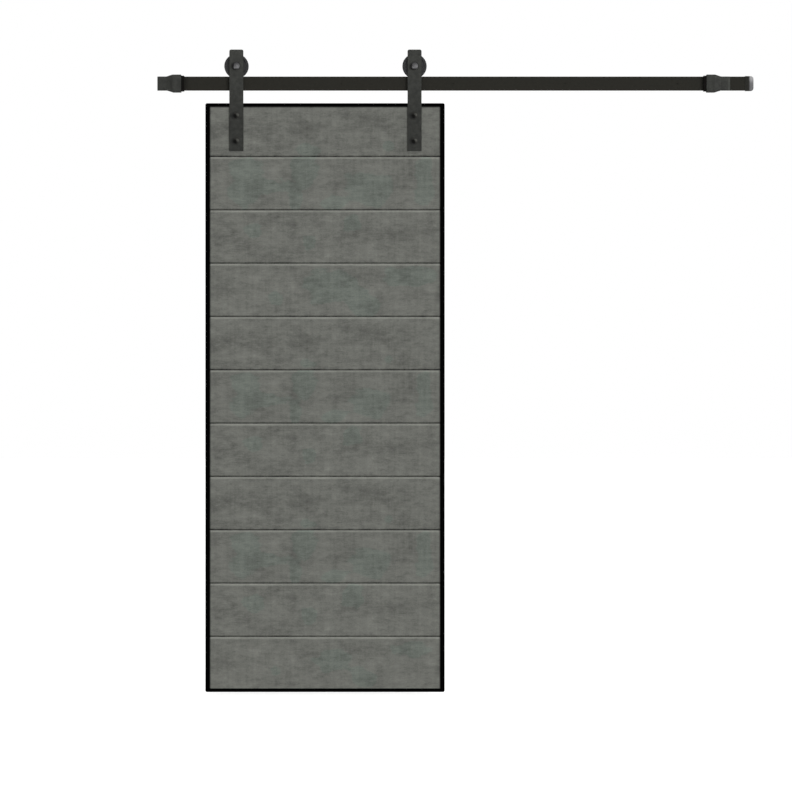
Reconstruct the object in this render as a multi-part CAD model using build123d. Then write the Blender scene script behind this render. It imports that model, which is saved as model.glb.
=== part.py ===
from build123d import *
import math
import os

# Sliding barn door on a flat bar track. Millimetres.
# +X to the right as seen from the room, +Y into the wall, +Z up.
# The origin is on the wall plane, behind the track's middle fixing.

# track bar and its wall fixings
rail_length = 2146.0
rail_height = 50.8
rail_thickness = 6.35
rail_edge_break = 0.6
wall_gap = 28.0
fixing_count = 5
fixing_inset = 260.2
spacer_radius = 11.0
wall_screw_shank_radius = 3.6
wall_screw_thread_radius = 4.0
wall_screw_head_radius = 7.6
wall_screw_bite = 60.0
wall_screw_tip = 8.0
wall_screw_point_radius = 0.5
wall_screw_key = 5.0
wall_screw_key_depth = 3.0
hole_clearance = 0.2

# cap pushed over the bare right end of the bar
cap_wall = 1.8
cap_grip = 15.2
cap_nose = 15.6
cap_corner_radius = 11.0
cap_edge_radius = 3.5
cap_clearance = 0.1

# end stops
stop_inset_left = 0.0
stop_inset_right = 69.1
bumper_length = 10.5
bumper_lap = 2.6
stop_block_length = 31.5
stop_block_lap = 6.6
stop_block_depth = 30.0
stop_slope_length = 21.5
stop_tongue_length = 33.5
stop_tongue_thickness = 5.0
stop_tongue_corner = 4.0
stop_tongue_bevel = 2.5
stop_edge_radius = 1.5
stop_clearance = 0.15
bumper_setback = 1.0
set_screw_radius = 3.0
set_screw_key = 3.0
set_screw_key_depth = 3.5
set_screw_pitch = 16.0

# door panel
door_width = 867.0
door_height = 2133.6
door_thickness = 35.0
door_inset = 174.5
door_drop = 46.6
plank_count = 11
top_plank_extra = 1.6
bottom_plank_extra = 6.4
seam_width = 5.0
seam_depth = 3.0
tongue_thickness = 9.0
tongue_length = 8.0
tongue_clearance = 0.2

# channel frame round the planks
side_face = 16.4
end_face = 13.0
frame_wall = 3.0
frame_corner_radius = 6.5
key_leg = 60.0
key_thickness = 4.0
key_clearance = 0.2
tenon_gap = 0.5
frame_screw_radius = 2.5
frame_screw_head_radius = 4.6
frame_screw_inset = 40.0
frame_screw_key = 3.0
frame_screw_key_depth = 1.6

# hanger straps
strap_width = 50.8
strap_thickness = 6.0
strap_top = 59.2
strap_tail = 172.6
strap_pitch = 645.6
hanger_offset = 1.6
strap_corner_radius = 6.5
strap_edge_break = 0.7
neck_gap = 1.0

# door bolts through strap and first plank
bolt_radius = 5.0
bolt_head_radius = 11.5
bolt_head_height = 7.0
bolt_head_rim = 1.0
bolt_neck = 10.0
bolt_first = 43.4
bolt_spacing = 92.4
bolt_washer_radius = 11.5
bolt_washer_thickness = 2.0
bolt_nut_width = 17.0
bolt_nut_height = 8.0
bolt_end = 1.5
bolt_pocket_gap = 1.0
bolt_pocket_cover = 1.5

# track wheels
tread_radius = 37.3
flange_height = 6.7
wheel_width = 22.0
ride_gap = 0.3
groove_side_gap = 1.0
groove_flare = 2.6
rim_bevel = 3.0
rim_width = 7.5
hub_wall = 4.0
web_recess = 4.5
wheel_running_gap = 2.0

# ball bearing in each wheel
bearing_outer_radius = 16.0
bearing_width = 10.0
ball_radius = 2.98
ball_count = 7
ball_clearance = 0.05
race_shoulder = 1.0
bearing_fit = 0.02
retainer_lip = 2.6
retainer_ring_width = 1.6
retainer_ring_depth = 1.5
retainer_gap_angle = 40.0

# axle bolt, front to back
axle_radius = 6.0
axle_fit = 0.03
axle_head_radius = 13.0
axle_head_height = 7.0
axle_head_rim = 5.5
axle_head_round = 3.0
axle_neck = 12.0
axle_washer_radius = 14.0
axle_washer_thickness = 2.5
collar_radius = 8.6
axle_back_washer_thickness = 1.5
axle_nut_width = 19.0
axle_nut_height = 11.0
axle_end = 1.5

# places worked out from the sizes above
rail_back = -wall_gap
rail_front = rail_back - rail_thickness
rail_middle = rail_back - rail_thickness / 2
rail_top = rail_height / 2
bumper_height = rail_height + 2 * bumper_lap
stop_block_height = rail_height + 2 * stop_block_lap
stop_front = rail_middle - stop_block_depth / 2
stop_back = rail_middle + stop_block_depth / 2
tongue_back = rail_front - stop_clearance
tongue_front = tongue_back - stop_tongue_thickness
stop_length = bumper_length + stop_block_length + stop_slope_length + stop_tongue_length
wheel_radius = tread_radius + flange_height
rim_inner_radius = wheel_radius - rim_width
wheel_z = rail_top + ride_gap + tread_radius
wheel_front = rail_middle - wheel_width / 2
strap_back = wheel_front - wheel_running_gap
strap_front = strap_back - strap_thickness
door_front = strap_back
door_back = door_front + door_thickness
door_top = -rail_top - door_drop
door_bottom = door_top - door_height
door_left = door_inset - rail_length / 2
door_right = door_left + door_width
door_centre_x = (door_left + door_right) / 2
plank_pitch = (door_height - top_plank_extra - bottom_plank_extra) / plank_count
first_seam = door_top - top_plank_extra - plank_pitch
channel_front = door_front + frame_wall
channel_back = door_back - frame_wall
panel_left = door_left + side_face
panel_right = door_right - side_face
panel_top = door_top - end_face
panel_bottom = door_bottom + end_face
end_tenon = side_face - frame_wall - key_thickness - tenon_gap
edge_tenon = end_face - frame_wall - key_thickness - tenon_gap
hanger_middle = door_centre_x + hanger_offset
hanger_xs = {"left": hanger_middle - strap_pitch / 2, "right": hanger_middle + strap_pitch / 2}
bolt_zs = [door_top - bolt_first, door_top - bolt_first - bolt_spacing]
fixing_pitch = (rail_length - 2 * fixing_inset) / (fixing_count - 1)
fixing_xs = [(i - (fixing_count - 1) / 2) * fixing_pitch for i in range(fixing_count)]
bolt_pocket_radius = bolt_washer_radius + bolt_pocket_gap
bolt_seat = door_back - bolt_pocket_cover - bolt_end - bolt_nut_height - bolt_washer_thickness
ball_ring_radius = (axle_radius + bearing_outer_radius) / 2
hub_radius = bearing_outer_radius + hub_wall
retainer_lip_radius = bearing_outer_radius - retainer_lip
bearing_front = rail_middle - bearing_width / 2
bearing_back = rail_middle + bearing_width / 2


def block(x, y, z):
    """A box between the two limits given on each axis."""
    centre = [(a + b) / 2 for a, b in (x, y, z)]
    return Pos(*centre) * Box(*[abs(b - a) for a, b in (x, y, z)])


def rod(radius, y, x=0.0, z=0.0):
    """A round bar along Y."""
    return Pos(x, (y[0] + y[1]) / 2, z) * Rot(X=90) * Cylinder(radius, abs(y[1] - y[0]))


def turned(points, x=0.0, y=0.0, z=0.0):
    """A solid turned about an axis along Y, from points given as radius and Y."""
    return Pos(x, y, z) * revolve(make_face(Polyline(*points, close=True)), Axis.Y)


def tube(outer, inner, y, x=0.0, z=0.0):
    return rod(outer, y, x, z) - rod(inner, y, x, z)


def hexagon(width, y, x=0.0, z=0.0):
    """A hexagonal bar along Y, given across its flats."""
    flat = RegularPolygon(width / 2, 6, major_radius=False)
    return Pos(x, y[1], z) * Rot(X=90) * extrude(flat, y[1] - y[0])


def square(width, y, x, z):
    """A square bar along Y."""
    return block((x - width / 2, x + width / 2), y, (z - width / 2, z + width / 2))


def domed_head(radius, height, rim, x, y, z):
    """A bolt's domed head on a straight rim, its underside at y."""
    rise = height - rim
    crown = (radius ** 2 + rise ** 2) / (2 * rise)
    apex, edge = Vector(0, -height), Vector(radius, -rim)
    outline = RadiusArc(apex, edge, crown) + Polyline(edge, (radius, 0), (0, 0), apex)
    return Pos(x, y, z) * revolve(make_face(outline), Axis.Y)


def countersunk_screw(head_radius, shank_radius, length, key, key_depth):
    """A flat-headed screw along +Y with its head face at y = 0."""
    cone = head_radius - shank_radius
    body = turned([(0, 0), (head_radius, 0), (shank_radius, cone), (shank_radius, length), (0, length)])
    return body - hexagon(key, (0, key_depth))


def countersunk_hole(head_radius, shank_radius, length):
    """The matching hole, larger all round by the hole clearance."""
    mouth = head_radius + hole_clearance
    shank = shank_radius + hole_clearance
    cone = mouth - shank
    return turned([(0, 0), (mouth, 0), (shank, cone), (shank, length), (0, length)])


def make_rail():
    half = rail_length / 2
    bar = block((-half, half), (rail_front, rail_back), (-rail_top, rail_top))
    bar = chamfer(bar.edges().filter_by(Axis.X), rail_edge_break)
    for x in fixing_xs:
        hole = countersunk_hole(wall_screw_head_radius, wall_screw_thread_radius, rail_thickness)
        bar -= Pos(x, rail_front, 0) * hole
    return bar


def make_rail_spacers():
    bore = wall_screw_thread_radius + hole_clearance
    return [tube(spacer_radius, bore, (rail_back, 0), x) for x in fixing_xs]


def make_wall_screws():
    screws = []
    for x in fixing_xs:
        reach = -rail_front
        screw = countersunk_screw(
            wall_screw_head_radius, wall_screw_shank_radius, reach, wall_screw_key, wall_screw_key_depth
        )
        straight = wall_screw_bite - wall_screw_tip
        thread = turned([
            (0, 0), (wall_screw_thread_radius, 0), (wall_screw_thread_radius, straight),
            (wall_screw_point_radius, wall_screw_bite), (0, wall_screw_bite),
        ])
        screws.append(Pos(x, rail_front, 0) * screw + Pos(x, 0, 0) * thread)
    return screws


def make_end_cap():
    """A moulded cap with a rounded nose, pocketed for the bar."""
    end = rail_length / 2
    depth = rail_thickness / 2 + cap_wall
    height = rail_top + cap_wall
    y = (rail_middle - depth, rail_middle + depth)
    body = block((end - cap_grip, end + cap_nose), y, (-height, height))
    nose_corners = body.edges().filter_by(Axis.Y).group_by(Axis.X)[-1]
    body = fillet(nose_corners, cap_corner_radius)
    nose_edges = body.faces().sort_by(Axis.X)[-1].edges().filter_by(Axis.Z)
    rounds = body.edges().filter_by(GeomType.CIRCLE)
    body = fillet(nose_edges + rounds, cap_edge_radius)
    slot_depth = rail_thickness / 2 + cap_clearance
    slot_height = rail_top + cap_clearance
    y = (rail_middle - slot_depth, rail_middle + slot_depth)
    return body - block((end - cap_grip, end), y, (-slot_height, slot_height))


def rail_slot(x):
    """The passage that a stop or bumper leaves for the bar."""
    return block(
        x,
        (rail_front - stop_clearance, rail_back + stop_clearance),
        (-rail_top - stop_clearance, rail_top + stop_clearance),
    )


def make_bumper():
    """The rubber sleeve on the door side of a stop, from x = 0 outwards."""
    x = (0, bumper_length)
    y = (stop_front + bumper_setback, stop_back - bumper_setback)
    sleeve = block(x, y, (-bumper_height / 2, bumper_height / 2))
    sleeve = fillet(sleeve.edges().filter_by(Axis.X), stop_edge_radius)
    return sleeve - rail_slot(x)


def set_screw_places():
    middle = bumper_length + stop_block_length / 2
    return [middle - set_screw_pitch / 2, middle + set_screw_pitch / 2]


def make_stop_body():
    """A one-piece stop: a block round the bar that slopes down to a flat tongue."""
    start = bumper_length
    shoulder = start + stop_block_length
    tongue_start = shoulder + stop_slope_length
    end = tongue_start + stop_tongue_length
    tall = stop_block_height / 2
    plan = [
        (start, stop_front), (shoulder, stop_front), (tongue_start, tongue_front), (end, tongue_front),
        (end, tongue_back), (shoulder, tongue_back), (shoulder, stop_back), (start, stop_back),
    ]
    front = [
        (start, -tall), (shoulder, -tall), (tongue_start, -rail_top), (end, -rail_top),
        (end, rail_top), (tongue_start, rail_top), (shoulder, tall), (start, tall),
    ]
    front_face = make_face(Polyline(*[(x, stop_back, z) for x, z in front], close=True))
    body = extrude(make_face(Polyline(*plan, close=True)), tall, both=True)
    body &= extrude(front_face, stop_block_depth, dir=(0, -1, 0))
    body = fillet(body.edges().filter_by(Axis.Y).group_by(Axis.X)[-1], stop_tongue_corner)
    free_end = body.faces().sort_by(Axis.X)[-1]
    body = chamfer(free_end.edges().filter_by(Axis.Z).sort_by(Axis.Y)[0], stop_tongue_bevel)
    on_block = body.edges().filter_by(lambda edge: edge.center().X < tongue_start + stop_clearance)
    body = fillet(on_block, stop_edge_radius) - rail_slot((start, end))
    for x in set_screw_places():
        body -= Pos(x, rail_middle, -tall) * Cylinder(
            set_screw_radius + hole_clearance, tall, align=(Align.CENTER, Align.CENTER, Align.MIN)
        )
    return body


def make_set_screws():
    length = stop_block_height / 2 - rail_top
    screws = []
    for x in set_screw_places():
        screw = Cylinder(set_screw_radius, length, align=(Align.CENTER, Align.CENTER, Align.MAX))
        key = extrude(RegularPolygon(set_screw_key / 2, 6, major_radius=False), set_screw_key_depth)
        screws.append(Pos(x, rail_middle, -rail_top) * (screw - Pos(0, 0, -length) * key))
    return screws


def place_stop(shapes, side):
    """Puts stop pieces at their end of the bar, mirrored on the left."""
    half = rail_length / 2
    if side == "right":
        return [Pos(half - stop_inset_right - stop_length, 0, 0) * s for s in shapes]
    return [Pos(-half + stop_inset_left + stop_length, 0, 0) * mirror(s, Plane.YZ) for s in shapes]


def door_outline():
    """The door's rounded silhouette, which trims the frame's corners."""
    face = Pos(door_centre_x, door_back, (door_top + door_bottom) / 2) * Rot(X=90) * RectangleRounded(
        door_width, door_height, frame_corner_radius
    )
    return extrude(face, door_thickness)


def frame_screw_places():
    """Every corner screw as a place and the turn that points it into the door."""
    middle = (door_front + door_back) / 2
    places = []
    for z in (door_top - frame_screw_inset, door_bottom + frame_screw_inset):
        places += [Pos(door_left, middle, z) * Rot(Z=-90), Pos(door_right, middle, z) * Rot(Z=90)]
    for x in (door_left + frame_screw_inset, door_right - frame_screw_inset):
        places += [Pos(x, middle, door_top) * Rot(X=-90), Pos(x, middle, door_bottom) * Rot(X=90)]
    return places


def cut_frame_screws(shape):
    for place in frame_screw_places():
        shape -= place * countersunk_hole(
            frame_screw_head_radius, frame_screw_radius, frame_wall + key_thickness
        )
    return shape


def make_stile(side):
    """An upright channel, open towards the planks."""
    outer, inner = (door_left, panel_left) if side == "left" else (door_right, panel_right)
    web = outer + frame_wall if side == "left" else outer - frame_wall
    channel = block((outer, inner), (door_front, door_back), (door_bottom, door_top))
    channel -= block((web, inner), (channel_front, channel_back), (door_bottom, door_top))
    return cut_frame_screws(channel & door_outline())


def make_end_rail(side):
    """A level channel whose web runs on between the stiles' flanges."""
    outer, inner = (door_top, panel_top) if side == "top" else (door_bottom, panel_bottom)
    web = outer - frame_wall if side == "top" else outer + frame_wall
    channel = block((panel_left, panel_right), (door_front, door_back), (outer, inner))
    channel -= block((panel_left, panel_right), (channel_front, channel_back), (web, inner))
    across = (door_left + frame_wall, door_right - frame_wall)
    channel += block(across, (channel_front, channel_back), (outer, web))
    return cut_frame_screws(channel & door_outline())


def make_corner_key(level, side):
    """An angle bracket inside a corner, threaded for the two corner screws."""
    right = 1 if side == "right" else -1
    up = 1 if level == "top" else -1
    x = (door_right if side == "right" else door_left) - right * frame_wall
    z = (door_top if level == "top" else door_bottom) - up * frame_wall
    y = (channel_front + key_clearance, channel_back - key_clearance)
    upright = block((x, x - right * key_thickness), y, (z, z - up * key_leg))
    level_leg = block((x, x - right * key_leg), y, (z, z - up * key_thickness))
    return cut_frame_screws(upright + level_leg)


def make_frame_screws():
    screw = countersunk_screw(
        frame_screw_head_radius, frame_screw_radius, frame_wall + key_thickness,
        frame_screw_key, frame_screw_key_depth,
    )
    return [place * screw for place in frame_screw_places()]


def plank_section(top, bottom, first, last):
    """A plank's outline in depth and height: tongue above, groove below."""
    middle = (door_front + door_back) / 2
    tongue = tongue_thickness / 2
    slot = tongue + tongue_clearance
    reach = tongue_length + tongue_clearance
    tenon = edge_tenon
    thin_front, thin_back = channel_front + tongue_clearance, channel_back - tongue_clearance
    if first:
        above = [
            (door_front, top), (thin_front, top), (thin_front, top + tenon),
            (thin_back, top + tenon), (thin_back, top), (door_back, top),
        ]
    else:
        above = [
            (door_front, top - seam_width), (door_front + seam_depth, top),
            (middle - tongue, top), (middle - tongue, top + tongue_length),
            (middle + tongue, top + tongue_length), (middle + tongue, top),
            (door_back - seam_depth, top), (door_back, top - seam_width),
        ]
    if last:
        below = [
            (door_back, bottom), (thin_back, bottom), (thin_back, bottom - tenon),
            (thin_front, bottom - tenon), (thin_front, bottom), (door_front, bottom),
        ]
    else:
        below = [
            (door_back, bottom + seam_width), (door_back - seam_depth, bottom),
            (middle + slot, bottom), (middle + slot, bottom + reach),
            (middle - slot, bottom + reach), (middle - slot, bottom),
            (door_front + seam_depth, bottom), (door_front, bottom + seam_width),
        ]
    return above + below


def make_plank(index):
    """One board; its ends are thinned to sit inside the stiles."""
    first, last = index == 0, index == plank_count - 1
    seam = first_seam - index * plank_pitch
    top = panel_top if first else seam + plank_pitch
    bottom = panel_bottom if last else seam
    outline = [(panel_left - end_tenon, y, z) for y, z in plank_section(top, bottom, first, last)]
    face = make_face(Polyline(*outline, close=True))
    board = extrude(face, panel_right - panel_left + 2 * end_tenon, dir=(1, 0, 0))
    ends = ((panel_left - end_tenon, panel_left), (panel_right, panel_right + end_tenon))
    rebate = frame_wall + tongue_clearance
    for x in ends:
        board -= block(x, (door_front, door_front + rebate), (door_bottom, door_top))
        board -= block(x, (door_back - rebate, door_back), (door_bottom, door_top))
    return board


def cut_bolt_holes(board):
    """The two hangers' bolt holes, with pockets for their nuts on the back."""
    for x in hanger_xs.values():
        for z in bolt_zs:
            board -= rod(bolt_radius + hole_clearance, (door_front, door_back), x, z)
            board -= rod(bolt_pocket_radius, (bolt_seat, door_back), x, z)
    return board


def make_strap(x):
    """A flat hanger strap with rounded top corners and a square-cut foot."""
    top = wheel_z + strap_top
    foot = door_top - strap_tail
    half = strap_width / 2
    strap = block((x - half, x + half), (strap_front, strap_back), (foot, top))
    strap = fillet(strap.edges().filter_by(Axis.Y).group_by(Axis.Z)[-1], strap_corner_radius)
    strap = chamfer(strap.faces().sort_by(Axis.Y)[0].edges(), strap_edge_break)
    depth = (strap_front, strap_back)
    strap -= square(axle_neck + 2 * hole_clearance, depth, x, wheel_z)
    for z in bolt_zs:
        strap -= square(bolt_neck + 2 * hole_clearance, depth, x, z)
    return strap


def make_door_bolt(x, z):
    """A domed bolt with a square neck under its head."""
    end = bolt_seat + bolt_washer_thickness + bolt_nut_height + bolt_end
    head = domed_head(bolt_head_radius, bolt_head_height, bolt_head_rim, x, strap_front, z)
    neck = square(bolt_neck, (strap_front, strap_back - neck_gap), x, z)
    return head + neck + rod(bolt_radius, (strap_front, end), x, z)


def bolt_spots():
    return [(x, z) for x in hanger_xs.values() for z in bolt_zs]


def make_bolt_washers():
    bore = bolt_radius + hole_clearance
    y = (bolt_seat, bolt_seat + bolt_washer_thickness)
    return [tube(bolt_washer_radius, bore, y, x, z) for x, z in bolt_spots()]


def make_bolt_nuts():
    seat = bolt_seat + bolt_washer_thickness
    y = (seat, seat + bolt_nut_height)
    return [hexagon(bolt_nut_width, y, x, z) - rod(bolt_radius + axle_fit, y, x, z) for x, z in bolt_spots()]


def make_wheel(x):
    """A grooved wheel: two flanges over the bar, recessed webs, and a bearing seat."""
    half = wheel_width / 2
    groove = rail_thickness / 2 + groove_side_gap
    lip = groove + groove_flare
    shoulder = -bearing_width / 2 - bearing_fit
    web = half - web_recess
    seat = bearing_outer_radius + bearing_fit
    ring = seat + retainer_ring_depth
    ring_front = bearing_width / 2 + bearing_fit
    ring_back = ring_front + retainer_ring_width
    edge = rim_bevel
    outline = [
        (retainer_lip_radius, -half), (hub_radius, -half), (hub_radius, -web), (rim_inner_radius, -web),
        (rim_inner_radius, -half), (wheel_radius - edge, -half), (wheel_radius, -half + edge),
        (wheel_radius, -lip), (tread_radius, -groove), (tread_radius, groove), (wheel_radius, lip),
        (wheel_radius, half - edge), (wheel_radius - edge, half), (rim_inner_radius, half),
        (rim_inner_radius, web), (hub_radius, web), (hub_radius, half), (seat, half), (seat, ring_back),
        (ring, ring_back), (ring, ring_front), (seat, ring_front), (seat, shoulder),
        (retainer_lip_radius, shoulder),
    ]
    return turned(outline, x, rail_middle, wheel_z)


def race(x):
    """The ring-shaped track that the balls run in."""
    groove = Pos(ball_ring_radius, 0, 0) * Circle(ball_radius + ball_clearance)
    return Pos(x, rail_middle, wheel_z) * revolve(groove, Axis.Y)


def make_outer_ring(x):
    inner = ball_ring_radius + ball_radius - race_shoulder
    ring = tube(bearing_outer_radius, inner, (bearing_front, bearing_back), x, wheel_z)
    return ring - race(x)


def make_inner_ring(x):
    outer = ball_ring_radius - ball_radius + race_shoulder
    ring = tube(outer, axle_radius + axle_fit, (bearing_front, bearing_back), x, wheel_z)
    return ring - race(x)


def make_balls(x):
    balls = []
    for i in range(ball_count):
        angle = 2 * math.pi * i / ball_count
        px, pz = ball_ring_radius * math.cos(angle), ball_ring_radius * math.sin(angle)
        balls.append(Pos(x + px, rail_middle, wheel_z + pz) * Sphere(ball_radius))
    return balls


def make_retainer(x):
    """The open spring ring that keeps the bearing in the wheel."""
    outer = bearing_outer_radius + retainer_ring_depth - bearing_fit
    front = bearing_back + 2 * bearing_fit
    y = (front, front + retainer_ring_width - 2 * bearing_fit)
    ring = tube(outer, retainer_lip_radius, y, x, wheel_z)
    spread = outer * math.tan(math.radians(retainer_gap_angle / 2))
    return ring - block((x - spread, x + spread), y, (wheel_z, wheel_z + outer))


def axle_nut_front():
    return bearing_back + axle_back_washer_thickness


def make_axle_bolt(x):
    """The wheel's axle: a flatter domed head, and a square neck that the strap holds."""
    seat = strap_front - axle_washer_thickness
    head = domed_head(axle_head_radius, axle_head_height, axle_head_rim, x, seat, wheel_z)
    head = fillet(head.edges().filter_by(Plane.XZ).sort_by(Axis.Y)[0], axle_head_round)
    neck = square(axle_neck, (seat, strap_back - neck_gap), x, wheel_z)
    end = axle_nut_front() + axle_nut_height + axle_end
    return head + neck + rod(axle_radius, (seat, end), x, wheel_z)


def make_axle_washer(x):
    y = (strap_front - axle_washer_thickness, strap_front)
    return rod(axle_washer_radius, y, x, wheel_z) - square(axle_neck + 2 * hole_clearance, y, x, wheel_z)


def make_axle_collar(x):
    """The sleeve that stands the bearing's inner ring off the strap."""
    return tube(collar_radius, axle_radius + hole_clearance, (strap_back, bearing_front), x, wheel_z)


def make_axle_back_washer(x):
    y = (bearing_back, axle_nut_front())
    return tube(collar_radius, axle_radius + hole_clearance, y, x, wheel_z)


def make_axle_nut(x):
    y = (axle_nut_front(), axle_nut_front() + axle_nut_height)
    nut = hexagon(axle_nut_width, y, x, wheel_z)
    return nut - rod(axle_radius + axle_fit, y, x, wheel_z)


def save(name, shapes):
    """Writes one node; a list of shapes stays a group of separate solids."""
    if isinstance(shapes, list):
        shapes = Compound(children=[s.solid() for s in shapes])
    export_step(shapes, f"parts/{name}.step")


def save_track():
    save("track_rail", make_rail())
    save("track_spacers", make_rail_spacers())
    save("wall_screws", make_wall_screws())
    save("track_end_cap", make_end_cap())
    set_screws = []
    for side in ("left", "right"):
        save(f"stop_body_{side}", place_stop([make_stop_body()], side)[0])
        save(f"stop_bumper_{side}", place_stop([make_bumper()], side)[0])
        set_screws += place_stop(make_set_screws(), side)
    save("stop_set_screws", set_screws)


def save_door():
    for side in ("left", "right"):
        save(f"door_stile_{side}", make_stile(side))
    for level in ("top", "bottom"):
        save(f"door_rail_{level}", make_end_rail(level))
        for side in ("left", "right"):
            save(f"corner_key_{level}_{side}", make_corner_key(level, side))
    save("frame_screws", make_frame_screws())
    for i in range(plank_count):
        board = make_plank(i)
        save(f"plank_{i + 1:02d}", cut_bolt_holes(board) if i == 0 else board)


def save_hangers():
    for side, x in hanger_xs.items():
        save(f"hanger_strap_{side}", make_strap(x))
        save(f"axle_bolt_{side}", make_axle_bolt(x))
        save(f"wheel_{side}", make_wheel(x))
        save(f"bearing_outer_ring_{side}", make_outer_ring(x))
        save(f"bearing_balls_{side}", make_balls(x))
        save(f"bearing_retainer_{side}", make_retainer(x))
    xs = hanger_xs.values()
    save("axle_washers", [make_axle_washer(x) for x in xs])
    save("axle_collars", [make_axle_collar(x) for x in xs])
    save("bearing_inner_rings", [make_inner_ring(x) for x in xs])
    save("axle_back_washers", [make_axle_back_washer(x) for x in xs])
    save("axle_nuts", [make_axle_nut(x) for x in xs])
    save("door_bolts", [make_door_bolt(x, z) for x, z in bolt_spots()])
    save("door_bolt_washers", make_bolt_washers())
    save("door_bolt_nuts", make_bolt_nuts())


os.makedirs("parts", exist_ok=True)
save_track()
save_door()
save_hangers()
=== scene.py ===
import math

import bmesh
import bpy
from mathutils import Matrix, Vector


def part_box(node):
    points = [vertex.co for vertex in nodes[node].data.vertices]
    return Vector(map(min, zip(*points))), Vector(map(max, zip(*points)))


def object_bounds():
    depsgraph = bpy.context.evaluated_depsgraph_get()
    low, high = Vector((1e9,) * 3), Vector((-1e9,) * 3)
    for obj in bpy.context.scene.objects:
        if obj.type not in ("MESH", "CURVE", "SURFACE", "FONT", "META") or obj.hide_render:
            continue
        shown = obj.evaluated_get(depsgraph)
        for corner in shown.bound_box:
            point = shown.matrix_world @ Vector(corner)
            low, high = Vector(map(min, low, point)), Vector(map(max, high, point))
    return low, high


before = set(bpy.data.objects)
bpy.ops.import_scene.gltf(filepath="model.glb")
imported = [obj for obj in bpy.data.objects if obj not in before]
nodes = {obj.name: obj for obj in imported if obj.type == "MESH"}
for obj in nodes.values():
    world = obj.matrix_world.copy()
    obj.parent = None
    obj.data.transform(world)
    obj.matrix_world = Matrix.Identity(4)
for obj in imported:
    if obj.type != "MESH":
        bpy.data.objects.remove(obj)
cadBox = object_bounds()
print("frame loaded:", len(nodes), "nodes")


class Wire:  # an output socket that adds, subtracts and multiplies like a number
    def __init__(self, finish, socket):
        self.finish, self.socket = finish, socket

    def maths(self, operation, *terms):
        return self.finish.add("ShaderNodeMath", {"operation": operation}, dict(enumerate(terms)))

    def __add__(self, other):
        return self.maths("ADD", self, other)

    def __radd__(self, other):
        return self.maths("ADD", other, self)

    def __sub__(self, other):
        return self.maths("SUBTRACT", self, other)

    def __rsub__(self, other):
        return self.maths("SUBTRACT", other, self)

    def __mul__(self, other):
        return self.maths("MULTIPLY", self, other)

    def __rmul__(self, other):
        return self.maths("MULTIPLY", other, self)


def swing(noise, amount):  # a noise of 0 to 1 as a swing to both sides of 0
    return (noise - 0.5) * amount


def between(share, span):  # a share of 0 to 1 laid out from the first value to the last
    first, last = span
    return share * (last - first) + first


# a soft spot of painted shade or painted highlight on metal starts and is full at these shares of its half
# size
metalSpotEdge = (1.0, 0.35)


class Finish:  # the node tree of one finish
    def __init__(self, tree):
        self.tree = tree
        tree.nodes.clear()

    def add(self, kind, settings=None, values=None, output=0):
        node = self.tree.nodes.new(kind)
        for key, value in (settings or {}).items():
            setattr(node, key, value)
        for key, value in (values or {}).items():
            if isinstance(value, Wire):
                self.tree.links.new(value.socket, node.inputs[key])
            else:
                node.inputs[key].default_value = value
        return Wire(self, node.outputs[output]) if node.outputs else None

    def place(self):  # the point on the piece at rest, in metres
        return self.add("ShaderNodeTexCoord", output="Object")

    def axes(self, point):  # a point's x, y and z
        split = self.add("ShaderNodeSeparateXYZ", values={0: point}).socket.node
        return [Wire(self, socket) for socket in split.outputs]

    def point(self, x, y, z):
        return self.add("ShaderNodeCombineXYZ", values={0: x, 1: y, 2: z})

    def vector(self, operation, first, second):
        return self.add("ShaderNodeVectorMath", {"operation": operation}, {0: first, 1: second})

    def length(self, vector):
        return self.add("ShaderNodeVectorMath", {"operation": "LENGTH"}, {0: vector}, "Value")

    def noise(self, point, scale=1.0, detail=2.0, roughness=0.5, output=0):
        values = {"Vector": point, "Scale": scale, "Detail": detail, "Roughness": roughness}
        return self.add("ShaderNodeTexNoise", None, values, output)

    def clouds(self, place, size):  # broad soft mottling
        return self.noise(place, size, detail=3.0, roughness=0.6)

    def ramp(self, value, low, high):  # 0 at low, 1 at high, eased between
        values = {"Value": value, "From Min": low, "From Max": high}
        return self.add("ShaderNodeMapRange", {"interpolation_type": "SMOOTHSTEP"}, values)

    def blend(self, share, first, second):
        values = {0: share, 6: first, 7: second}
        return self.add("ShaderNodeMix", {"data_type": "RGBA"}, values, output=2)

    def shade(self, colour, gain):  # the colour made lighter or darker
        values = {0: 1.0, 6: colour, 7: self.point(gain, gain, gain)}
        return self.add("ShaderNodeMix", {"data_type": "RGBA", "blend_type": "MULTIPLY"}, values, output=2)

    def addPaintedLight(self, gain, place, look):  # the gain with a metal's painted shade and highlight spots and its painted light that changes with height
        for (x, z), (halfX, halfZ), middle in look.get("spots", ()):
            offset = self.vector("SUBTRACT", place, (x, 0, z))
            reach = self.length(self.vector("MULTIPLY", offset, (1 / halfX, 0, 1 / halfZ)))
            gain = gain * (1.0 + self.ramp(reach, *metalSpotEdge) * (middle - 1.0))
        if "rise" in look:
            rise = look["rise"]
            height = self.axes(place)[2]
            gain = gain * between(self.ramp(height, rise["from"], rise["to"]), rise["gain"])
        return gain

    def bump(self, height, distance):
        return self.add("ShaderNodeBump", values={"Height": height, "Distance": distance})

    def surface(self, values):
        shader = self.add("ShaderNodeBsdfPrincipled", values=values)
        self.add("ShaderNodeOutputMaterial", values={"Surface": shader})


def newMaterial(name):
    material = bpy.data.materials.new(name)
    material.use_nodes = True
    return material, Finish(material.node_tree)


def screenColour(levels):  # screen levels of 0 to 255 as the linear colour a shader takes
    def linear(level):
        share = level / 255
        return share / 12.92 if share <= 0.04045 else ((share + 0.055) / 1.055) ** 2.4
    return (*[linear(level) for level in levels], 1.0)


def dress(material, *names):
    for name in names:
        for slot in nodes[name].material_slots:
            slot.material = material


def putInScene(thing):
    bpy.context.scene.collection.objects.link(thing)


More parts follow.
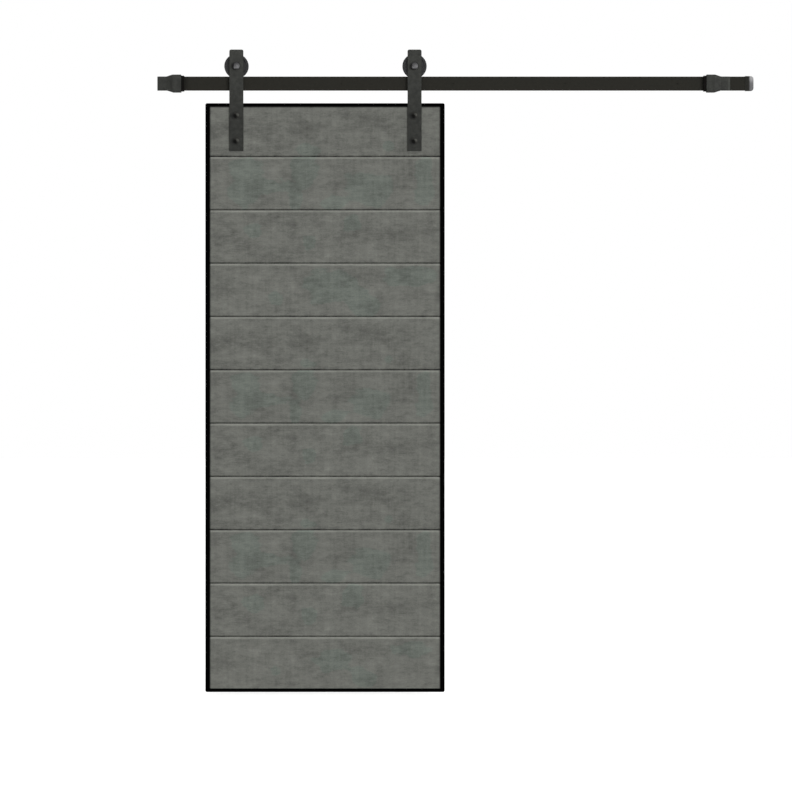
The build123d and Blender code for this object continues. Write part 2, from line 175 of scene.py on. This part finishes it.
# camera, square on to the door, far off with a long lens as the photograph has no perspective
cameraSet = {"x": -0.2078, "z": -1.1329, "halfView": 1.435, "focus": -0.044, "lens": 200.0, "sensor": 36.0}


def makeCamera(look):
    data = bpy.data.cameras.new("camera")
    data.lens, data.sensor_width = look["lens"], look["sensor"]
    distance = look["halfView"] * 2 * look["lens"] / look["sensor"]
    camera = bpy.data.objects.new("camera", data)
    camera.location = (look["x"], look["focus"] - distance, look["z"])
    camera.rotation_euler = (math.radians(90), 0, 0)
    putInScene(camera)
    bpy.context.scene.camera = camera


# studio: a pale floor, a white surround, a wide key light from the right and three softer lights
studio = {
    "floor": {
        "drop": 0.012, "radius": 60.0, "edges": 96, "colour": (246, 246, 245),
        "grainSize": 9.0, "grainTone": (0.98, 1.01), "fade": (0.6, 4.0), "glow": (0.68, 0.64),
        "roughness": 0.8, "specular": 0.2,
    },
    "surround": 0.10,
    "lights": {
        "key": {"from": (5.0, -9.0, 1.8), "angle": 42, "strength": 1.70},
        "fill": {"from": (-7.0, -9.0, 1.0), "angle": 70, "strength": 0.45},
        "top": {"from": (1.0, -3.0, 9.0), "angle": 60, "strength": 0.90},
        "behind": {"from": (2.0, 8.0, 5.0), "angle": 60, "strength": 0.80},
    },
}


def makeFloor(look):
    mesh = bmesh.new()
    bmesh.ops.create_circle(mesh, cap_ends=True, segments=look["edges"], radius=look["radius"])
    data = bpy.data.meshes.new("floor")
    mesh.to_mesh(data)
    mesh.free()
    floor = bpy.data.objects.new("floor", data)
    floor.location = (cameraSet["x"], 0, cadBox[0].z - look["drop"])
    putInScene(floor)
    material, finish = newMaterial("paleFloor")
    place = finish.place()
    tone = between(finish.noise(place, look["grainSize"]), look["grainTone"])
    away = finish.ramp(finish.length(place), *look["fade"])
    seen = finish.add("ShaderNodeLightPath", output="Is Camera Ray")
    glow = seen * between(away, look["glow"])  # lifts the floor to white for the eye alone
    finish.surface({
        "Base Color": finish.shade(screenColour(look["colour"]), tone),
        "Roughness": look["roughness"], "Specular IOR Level": look["specular"],
        "Emission Color": finish.point(glow, glow, glow), "Emission Strength": 1.0,
    })
    data.materials.append(material)


def makeLights(lights):
    for name, light in lights.items():
        data = bpy.data.lights.new(name, "SUN")  # even light over the whole door
        data.angle, data.energy = math.radians(light["angle"]), light["strength"]
        lamp = bpy.data.objects.new(name, data)
        lamp.location = light["from"]
        lamp.rotation_euler = Vector(light["from"]).to_track_quat("Z", "Y").to_euler()
        putInScene(lamp)


def makeSurround(strength):  # white to the eye, softer as a light
    world = bpy.data.worlds.new("surround")
    bpy.context.scene.world = world
    world.use_nodes = True
    finish = Finish(world.node_tree)
    seen = finish.add("ShaderNodeLightPath", output="Is Camera Ray")
    soft = finish.add("ShaderNodeBackground", values={"Color": (1, 1, 1, 1), "Strength": strength})
    white = finish.add("ShaderNodeBackground", values={"Color": (1, 1, 1, 1), "Strength": 1.0})
    mixed = finish.add("ShaderNodeMixShader", values={0: seen, 1: soft, 2: white})
    finish.add("ShaderNodeOutputWorld", values={"Surface": mixed})


makeCamera(cameraSet)
makeFloor(studio["floor"])
makeLights(studio["lights"])
makeSurround(studio["surround"])
bpy.context.scene.view_settings.view_transform = "Standard"
print("studio made")


# boards: printed cement-grey laminate; a layer's stretch is its marks per metre across and up
boardLook = {
    "warm": (108.2, 109.35, 103.8), "teal": (104.3, 110, 103.4),
    "clouds": {"stretch": (9.0, 17.0), "detail": 3.0, "gain": 0.85},
    "mottle": {"stretch": (32.0, 66.0), "detail": 3.0, "roughness": 0.6, "gain": 0.86},
    "streaks": {"stretch": (38.0, 220.0), "gain": 0.34},
    "columns": {"stretch": (85.0, 6.0), "gain": 0.34},
    "grain": {"stretch": (200.0, 260.0), "detail": 1.0, "gain": 0.45},
    "flecks": {"stretch": (30.0, 170.0), "detail": 3.0, "roughness": 0.6, "span": (0.6, 0.72), "gain": 0.2},
    "drift": {"stretch": (20.0, 34.0), "detail": 3.0, "roughness": 0.6, "reach": 0.050},
    "tealNoise": {"stretch": (11.0, 15.0), "detail": 1.0, "gain": 1.2},
    "tealCutoff": (0.95, 0.46), "tealSoft": 0.07,  # cutoffs for a board that leans 0 and 1
    "spotEdge": (1.35, 0.20),  # shares of a spot's half size where it starts and is full
    "paintedHighlightEdge": {"from": 0.004, "to": 0.0095, "gain": 0.62},  # painted highlight on the upward bevel, metres down from the joint above
    "paintedShadeEdge": {"from": 0.001, "to": 0.008, "gain": 0.74},  # painted shade in the groove, metres up from the joint below
    "paintedShadeByFrame": {"from": 0.0005, "to": 0.0055, "gain": 0.62},  # painted shade next to the frame, metres in from the frame
    "depthStretch": 2.5, "roughness": (0.56, 0.70), "specular": 0.25,
    "relief": {"streaks": 0.5, "mottle": 0.3, "grain": 0.3, "flecks": -0.5}, "reliefDepth": 0.00035,
}
# four prints repeat down the door
# smudges: place across and up the board as shares, half width and height in metres, gain
# teals: the same without the gain, where the print leans to blue-green
boardPrints = {
    "dappled": {
        "seed": 3.1,
        "smudges": [
            (0.04, 0.45, 0.03, 0.09, 0.06), (0.15, 0.60, 0.028, 0.10, 0.06), (0.28, 0.68, 0.03, 0.07, 0.10),
            (0.36, 0.50, 0.013, 0.13, -0.12), (0.42, 0.68, 0.055, 0.065, -0.10),
            (0.21, 0.50, 0.02, 0.05, -0.09), (0.60, 0.18, 0.13, 0.035, 0.10),
            (0.64, 0.62, 0.06, 0.04, -0.03), (0.84, 0.72, 0.055, 0.05, -0.08),
            (0.87, 0.65, 0.01, 0.07, -0.10), (0.96, 0.20, 0.03, 0.05, 0.08),
        ],
        "teals": [
            (0.16, 0.52, 0.086, 0.125), (0.42, 0.75, 0.066, 0.09), (0.29, 0.45, 0.07, 0.03),
            (0.37, 0.15, 0.03, 0.05), (0.54, 0.14, 0.055, 0.04), (0.69, 0.42, 0.115, 0.08),
            (0.93, 0.52, 0.048, 0.12),
        ],
    },
    "banded": {
        "seed": 17.4,
        "smudges": [
            (0.08, 0.62, 0.09, 0.018, -0.08), (0.36, 0.65, 0.03, 0.06, -0.10),
            (0.52, 0.55, 0.022, 0.11, 0.09), (0.47, 0.30, 0.05, 0.05, 0.06),
            (0.61, 0.68, 0.035, 0.035, -0.09), (0.85, 0.56, 0.12, 0.016, -0.10),
            (0.69, 0.28, 0.03, 0.03, 0.12), (0.61, 0.22, 0.02, 0.02, -0.09),
            (0.87, 0.30, 0.05, 0.02, -0.07),
        ],
        "teals": [(0.19, 0.66, 0.04, 0.045), (0.62, 0.74, 0.05, 0.05), (0.43, 0.40, 0.035, 0.035)],
    },
    "flecked": {
        "seed": 41.8,
        "smudges": [
            (0.04, 0.57, 0.06, 0.018, -0.07), (0.27, 0.57, 0.06, 0.016, -0.08),
            (0.46, 0.50, 0.08, 0.05, -0.07), (0.18, 0.22, 0.06, 0.05, 0.10), (0.14, 0.85, 0.12, 0.03, 0.04),
            (0.81, 0.47, 0.025, 0.03, -0.11), (0.84, 0.72, 0.03, 0.02, -0.06),
            (0.30, 0.26, 0.025, 0.03, -0.06), (0.52, 0.06, 0.05, 0.02, -0.06),
        ],
        "teals": [(0.42, 0.12, 0.06, 0.035), (0.78, 0.20, 0.035, 0.025)],
    },
    "open": {
        "seed": 66.2,
        "smudges": [
            (0.20, 0.72, 0.03, 0.05, 0.07), (0.07, 0.30, 0.05, 0.03, 0.11), (0.15, 0.10, 0.13, 0.03, 0.06),
            (0.58, 0.84, 0.06, 0.018, -0.12), (0.45, 0.62, 0.06, 0.05, -0.06),
            (0.88, 0.70, 0.03, 0.03, -0.10), (0.89, 0.35, 0.04, 0.035, -0.08),
            (0.70, 0.52, 0.05, 0.03, 0.05), (0.08, 0.88, 0.06, 0.02, -0.06),
            (0.99, 0.40, 0.012, 0.09, -0.11),
        ],
        "teals": [
            (0.53, 0.60, 0.12, 0.085), (0.67, 0.22, 0.07, 0.06), (0.87, 0.76, 0.11, 0.045),
            (0.28, 0.34, 0.034, 0.034),
        ],
    },
}
# per board, top one first: its print, how blue-green it leans, how light it is
# a board's lightness is partly its own tone and partly painted light that lifts the lower boards, where
# less light falls
boards = [
    ("flecked", 0.75, 0.97), ("dappled", 0.88, 1.02), ("banded", 0.60, 1.01), ("open", 1.02, 1.04),
    ("flecked", 0.00, 0.99), ("dappled", 0.62, 1.01), ("banded", 0.75, 1.03), ("flecked", 0.00, 0.99),
    ("dappled", 0.66, 1.03), ("banded", 1.08, 1.06), ("open", 0.34, 1.09),
]
# the door's own sizes in metres, as it is drawn
doorPlan = {"pitch": 0.19324, "topExtra": 0.0016, "frameFace": 0.013, "left": -0.8821, "width": 0.8342}


def makeBoardMaterial(number, look):
    printName, tealLean, light = boards[number]
    design = boardPrints[printName]
    pitch, width = doorPlan["pitch"], doorPlan["width"]
    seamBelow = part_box("door_rail_top")[1].z - doorPlan["topExtra"] - (number + 1) * pitch
    seamAbove = seamBelow + pitch
    material, finish = newMaterial(f"cementBoard{number + 1:02d}")
    x, y, z = finish.axes(finish.place())
    across, up = x - doorPlan["left"], z - seamBelow
    depth = y * look["depthStretch"] + design["seed"]

    def layer(name, output=0):
        marks = look[name]
        stretchX, stretchZ = marks["stretch"]
        point = finish.point(across * stretchX, up * stretchZ, depth)
        detail, roughness = marks.get("detail", 2.0), marks.get("roughness", 0.55)
        return finish.noise(point, detail=detail, roughness=roughness, output=output)

    layers = {name: layer(name) for name in ("clouds", "mottle", "streaks", "columns", "grain")}
    flecks = finish.ramp(layer("flecks"), *look["flecks"]["span"])
    # the board's own tone with painted light lifting the lower boards, less the flecks
    gain = light - flecks * look["flecks"]["gain"]
    for name, noise in layers.items():
        gain = gain + swing(noise, look[name]["gain"])

    driftReach = look["drift"]["reach"]  # the spots' outlines wander by this much
    drift = finish.vector("SUBTRACT", layer("drift", output="Color"), (0.5, 0.5, 0.5))
    drift = finish.vector("MULTIPLY", drift, (driftReach, driftReach, 0))
    warped = finish.vector("ADD", finish.point(across, up, 0.0), drift)

    def spot(acrossShare, upShare, halfWidth, halfHeight):  # 1 in the middle, 0 outside
        offset = finish.vector("SUBTRACT", warped, (acrossShare * width, upShare * pitch, 0))
        reach = finish.length(finish.vector("MULTIPLY", offset, (1 / halfWidth, 1 / halfHeight, 0)))
        return finish.ramp(reach, *look["spotEdge"])

    def edgeLine(distance, edge):  # strongest at the edge, none further in
        return finish.ramp(distance, edge["to"], edge["from"]) * edge["gain"]

    for *where, strength in design["smudges"]:
        gain = gain + spot(*where) * strength
    # painted highlight along the top of each board below a joint
    if number > 0:
        gain = gain + edgeLine(seamAbove - z, look["paintedHighlightEdge"])
    # painted shade along the bottom of each board, in the groove above the next joint
    if number < len(boards) - 1:
        gain = gain - edgeLine(up, look["paintedShadeEdge"])
    # painted shade where the boards meet the frame
    fromFrame = [across, width - across]
    if number == 0:
        fromFrame.append(seamAbove - doorPlan["frameFace"] + doorPlan["topExtra"] - z)
    for distance in fromFrame:
        gain = gain * (1.0 - edgeLine(distance, look["paintedShadeByFrame"]))

    tealField = swing(layer("tealNoise"), look["tealNoise"]["gain"])
    for where in design["teals"]:
        tealField = tealField + spot(*where)
    cutoff, soft = between(tealLean, look["tealCutoff"]), look["tealSoft"]
    tealShare = finish.ramp(tealField, cutoff - soft, cutoff + soft)
    colour = finish.blend(tealShare, screenColour(look["warm"]), screenColour(look["teal"]))
    relief = look["relief"]
    height = flecks * relief["flecks"]
    for name in ("streaks", "mottle", "grain"):
        height = height + layers[name] * relief[name]
    finish.surface({
        "Base Color": finish.shade(colour, gain), "Roughness": between(layers["mottle"], look["roughness"]),
        "Specular IOR Level": look["specular"], "Normal": finish.bump(height, look["reliefDepth"]),
    })
    return material


for number in range(len(boards)):
    dress(makeBoardMaterial(number, boardLook), f"plank_{number + 1:02d}")
print("boards finished")


# spots of painted light on the hardware, painted shadows, shade and highlights: offset from the place they
# belong to and half size, both along x and z in metres, and the gain in the middle
spotKinds = {
    # painted shadows of the axle head and the bolt heads on the strap
    "axleShadowOnStrap": ((-0.008, -0.002), (0.0175, 0.0175), 0.38),
    "boltShadowOnStrap": ((-0.006, -0.002), (0.0210, 0.0185), 0.36),
    # painted shade on the axle head's left side and on its lower edge
    "axleShadedSide": ((-0.0125, 0.0), (0.0075, 0.0170), 0.22),
    "axleShadedFoot": ((0.0, -0.0125), (0.0150, 0.0055), 0.40),
    # painted shade on the bolt dome's lower left rim
    "boltShadedRim": ((-0.006, -0.005), (0.0135, 0.0140), 0.06),
    "boltCrownHighlight": ((0.0036, 0.0008), (0.0088, 0.0078), 2.8),  # painted highlight on the dome's crown
    "bumperShadeOnRail": ((0.0, 0.0), (0.020, 9.0), 0.72),  # painted shade on the rail beside the bumper, at every height
    "stopTipHighlight": ((-0.0025, 0.0), (0.007, 9.0), 1.5),  # a painted highlight line at the stop's free end
}


def spotAt(kind, x, z=0.0):
    (moveX, moveZ), halfSize, gain = spotKinds[kind]
    return (x + moveX, z + moveZ), halfSize, gain


def findSpots():
    spots = {"strap": [], "bolts": [], "axles": [], "rail": []}
    boltsLow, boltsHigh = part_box("door_bolts")
    for side in ("left", "right"):
        strapLow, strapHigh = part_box(f"hanger_strap_{side}")
        axleLow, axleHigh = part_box(f"axle_bolt_{side}")
        x, axleZ = (strapLow.x + strapHigh.x) / 2, (axleLow.z + axleHigh.z) / 2
        headRadius = boltsHigh.x - x if side == "right" else x - boltsLow.x
        spots["strap"].append(spotAt("axleShadowOnStrap", x, axleZ))
        spots["axles"] += [spotAt("axleShadedSide", x, axleZ), spotAt("axleShadedFoot", x, axleZ)]
        for z in (boltsLow.z + headRadius, boltsHigh.z - headRadius):
            spots["strap"].append(spotAt("boltShadowOnStrap", x, z))
            spots["bolts"] += [spotAt("boltShadedRim", x, z), spotAt("boltCrownHighlight", x, z)]
    for x in (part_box("stop_bumper_left")[1].x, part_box("stop_bumper_right")[0].x):
        spots["rail"].append(spotAt("bumperShadeOnRail", x))
    spots["strap"].append(spotAt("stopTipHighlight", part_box("stop_body_right")[1].x))
    return spots


paintedLightSpots = findSpots()


# powder coat and paint on metal
coatTexture = {"cloudSize": 64.0, "grainGain": 0.25, "sideSheenEdge": (0.0004, 0.0030)}
coats = {
    "frameBlack": {
        "nodes": ["door_stile_left", "door_stile_right", "door_rail_top", "door_rail_bottom"],
        "colour": (2, 2, 2), "sideSheenColour": (26, 26, 25), "cloudGain": 0.35, "grainSize": 900.0,
        "relief": 0.00005, "roughness": (0.42, 0.58), "specular": 0.01,
    },
    "trackBlack": {
        "nodes": ["track_rail", "track_spacers", "wall_screws"],
        "colour": (41, 40, 35), "cloudGain": 0.30, "grainSize": 1100.0, "relief": 0.00006,
        "roughness": (0.50, 0.66), "specular": 0.10, "spots": paintedLightSpots["rail"],
    },
    "hardwareBlack": {
        "nodes": ["hanger_strap_left", "hanger_strap_right", "stop_body_left", "stop_body_right"],
        "colour": (53, 54, 51), "cloudGain": 1.35, "grainSize": 800.0, "relief": 0.00010,
        "roughness": (0.45, 0.62), "specular": 0.16, "spots": paintedLightSpots["strap"],
        # painted light: the strap is lighter towards its top
        "rise": {"from": -0.15, "to": 0.12, "gain": (0.87, 1.24)},
    },
    "boltBlack": {
        "nodes": ["door_bolts"],
        "colour": (46, 46, 43), "cloudGain": 0.40, "grainSize": 1500.0, "relief": 0.00004,
        "roughness": (0.44, 0.56), "specular": 0.14, "spots": paintedLightSpots["bolts"],
    },
    "fastenerBlack": {
        "nodes": ["door_bolt_washers", "door_bolt_nuts", "axle_washers", "axle_nuts"],
        "colour": (24, 24, 23), "cloudGain": 0.40, "grainSize": 1500.0, "relief": 0.00004,
        "roughness": (0.34, 0.46), "specular": 0.30,
    },
    "screwBlack": {
        "nodes": ["frame_screws", "stop_set_screws"],
        "colour": (30, 30, 28), "cloudGain": 0.30, "grainSize": 1500.0, "relief": 0.00004,
        "roughness": (0.38, 0.52), "specular": 0.30,
    },
}


def makeCoat(name, look):
    material, finish = newMaterial(name)
    place = finish.place()
    clouds = finish.clouds(place, coatTexture["cloudSize"])
    grain = finish.noise(place, look["grainSize"], detail=1.0)
    gain = 1.0 + swing(clouds, look["cloudGain"]) + swing(grain, coatTexture["grainGain"])
    gain = finish.addPaintedLight(gain, place, look)
    colour = screenColour(look["colour"])
    if "sideSheenColour" in look:  # painted sheen: the sides are lighter than the near-black front face
        front = min(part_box(node)[0].y for node in look["nodes"])
        behind = finish.ramp(finish.axes(place)[1], *[front + depth for depth in coatTexture["sideSheenEdge"]])
        colour = finish.blend(behind, colour, screenColour(look["sideSheenColour"]))
    finish.surface({
        "Base Color": finish.shade(colour, gain), "Roughness": between(clouds, look["roughness"]),
        "Specular IOR Level": look["specular"], "Normal": finish.bump(grain, look["relief"]),
    })
    return material


for name, look in coats.items():
    dress(makeCoat(name, look), *look["nodes"])
print("coats finished")


# bare and plated metal; brush is the marks per metre along x, y and z
metalTexture = {"cloudSize": 90.0, "cloudGain": 0.4, "brushGain": 0.3}
metals = {
    "axleSteel": {
        "nodes": ["axle_bolt_left", "axle_bolt_right"],
        "colour": (106, 106, 107), "metal": 0.85, "roughness": (0.54, 0.66),
        "brush": (60, 900, 60), "relief": 0.00003,
        # painted reflection: the head is lighter low down, as if mirroring the floor, and darker on top
        "rise": {"from": 0.056, "to": 0.075, "gain": (1.38, 0.45)}, "spots": paintedLightSpots["axles"],
    },
    "bearingSteel": {
        "nodes": [
            "bearing_inner_rings", "bearing_outer_ring_left", "bearing_outer_ring_right",
            "bearing_balls_left", "bearing_balls_right", "bearing_retainer_left",
            "bearing_retainer_right", "axle_collars", "axle_back_washers",
        ],
        "colour": (188, 188, 190), "metal": 1.0, "roughness": (0.16, 0.30),
        "brush": (90, 1400, 90), "relief": 0.00001,
    },
    "zincPlate": {
        "nodes": [
            "corner_key_top_left", "corner_key_top_right",
            "corner_key_bottom_left", "corner_key_bottom_right",
        ],
        "colour": (176, 178, 180), "metal": 0.95, "roughness": (0.30, 0.48),
        "brush": (70, 70, 500), "relief": 0.00002,
    },
}


def makeMetal(name, look):
    material, finish = newMaterial(name)
    place = finish.place()
    clouds = finish.clouds(place, metalTexture["cloudSize"])
    brush = finish.noise(finish.vector("MULTIPLY", place, look["brush"]))
    gain = 1.0 + swing(clouds, metalTexture["cloudGain"]) + swing(brush, metalTexture["brushGain"])
    gain = finish.addPaintedLight(gain, place, look)
    finish.surface({
        "Base Color": finish.shade(screenColour(look["colour"]), gain), "Metallic": look["metal"],
        "Roughness": between(clouds, look["roughness"]), "Normal": finish.bump(brush, look["relief"]),
    })
    return material


for name, look in metals.items():
    dress(makeMetal(name, look), *look["nodes"])
print("bare metal finished")


# wheels: turned, so the finish has fine rings about each axle
wheelLook = {
    "colour": (47, 47, 48), "rings": 2600.0, "ringGain": 0.35, "cloudSize": 60.0, "cloudGain": 0.35,
    "roughness": (0.34, 0.50), "relief": 0.00004, "specular": 0.30,
}


def makeWheelMaterial(side, look):
    material, finish = newMaterial(f"turnedBlack_{side}")
    low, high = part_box(f"wheel_{side}")
    place = finish.vector("SUBTRACT", finish.place(), tuple((low + high) / 2))
    radius = finish.length(finish.vector("MULTIPLY", place, (1, 0, 1)))
    depth = finish.axes(place)[1]
    rings = finish.noise(finish.point(radius * look["rings"], depth * look["rings"], 0.0), detail=1.0)
    clouds = finish.clouds(place, look["cloudSize"])
    gain = 1.0 + swing(clouds, look["cloudGain"]) + swing(rings, look["ringGain"])
    finish.surface({
        "Base Color": finish.shade(screenColour(look["colour"]), gain),
        "Roughness": between(clouds, look["roughness"]), "Specular IOR Level": look["specular"],
        "Normal": finish.bump(rings, look["relief"]),
    })
    return material


for side in ("left", "right"):
    dress(makeWheelMaterial(side, wheelLook), f"wheel_{side}")
print("wheels finished")


# rubber bumpers
rubberLook = {
    "colour": (12, 10, 8), "bloomSize": 70.0, "bloomTone": (0.90, 1.25),
    "speckle": 1600.0, "speckleGain": 0.3, "relief": 0.00012, "roughness": (0.66, 0.86), "specular": 0.10,
}


def makeRubber(look):
    material, finish = newMaterial("bumperRubber")
    place = finish.place()
    speckle = finish.noise(place, look["speckle"], roughness=0.7)
    bloom = finish.noise(place, look["bloomSize"], detail=3.0)
    gain = between(bloom, look["bloomTone"]) + swing(speckle, look["speckleGain"])
    finish.surface({
        "Base Color": finish.shade(screenColour(look["colour"]), gain),
        "Roughness": between(bloom, look["roughness"]), "Specular IOR Level": look["specular"],
        "Normal": finish.bump(speckle, look["relief"]),
    })
    return material


dress(makeRubber(rubberLook), "stop_bumper_left", "stop_bumper_right")


# moulded end cap: a dark sleeve that turns to a pale nose before the tip, greyer at its foot;
# the pale nose is painted light caught on the rounded tip, and its greying towards the foot is painted
# shade
capLook = {
    "sleeve": (38, 38, 34), "nose": (178, 178, 179), "foot": (116, 116, 118),
    "turn": (-0.0182, -0.0103), "drop": (0.024, -0.004), "wander": 0.002, "wanderSize": 160.0,
    "pebble": 1300.0, "pebbleTone": (0.94, 1.06), "relief": 0.00008, "roughness": (0.42, 0.57),
    "specular": 0.12,
}


def makeCapMaterial(look):
    material, finish = newMaterial("capGrey")
    place = finish.place()
    x, y, z = finish.axes(place)
    pebble = finish.noise(place, look["pebble"], roughness=0.6)
    wander = swing(finish.noise(place, look["wanderSize"]), look["wander"])
    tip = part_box("track_end_cap")[1].x
    towardsTip = finish.ramp(x + wander, *[tip + turn for turn in look["turn"]])
    towardsFoot = finish.ramp(z + wander, *look["drop"])
    grey = finish.blend(towardsFoot, screenColour(look["nose"]), screenColour(look["foot"]))
    colour = finish.blend(towardsTip, screenColour(look["sleeve"]), grey)
    finish.surface({
        "Base Color": finish.shade(colour, between(pebble, look["pebbleTone"])),
        "Roughness": between(pebble, look["roughness"]), "Specular IOR Level": look["specular"],
        "Normal": finish.bump(pebble, look["relief"]),
    })
    return material


dress(makeCapMaterial(capLook), "track_end_cap")
print("rubber and cap finished")
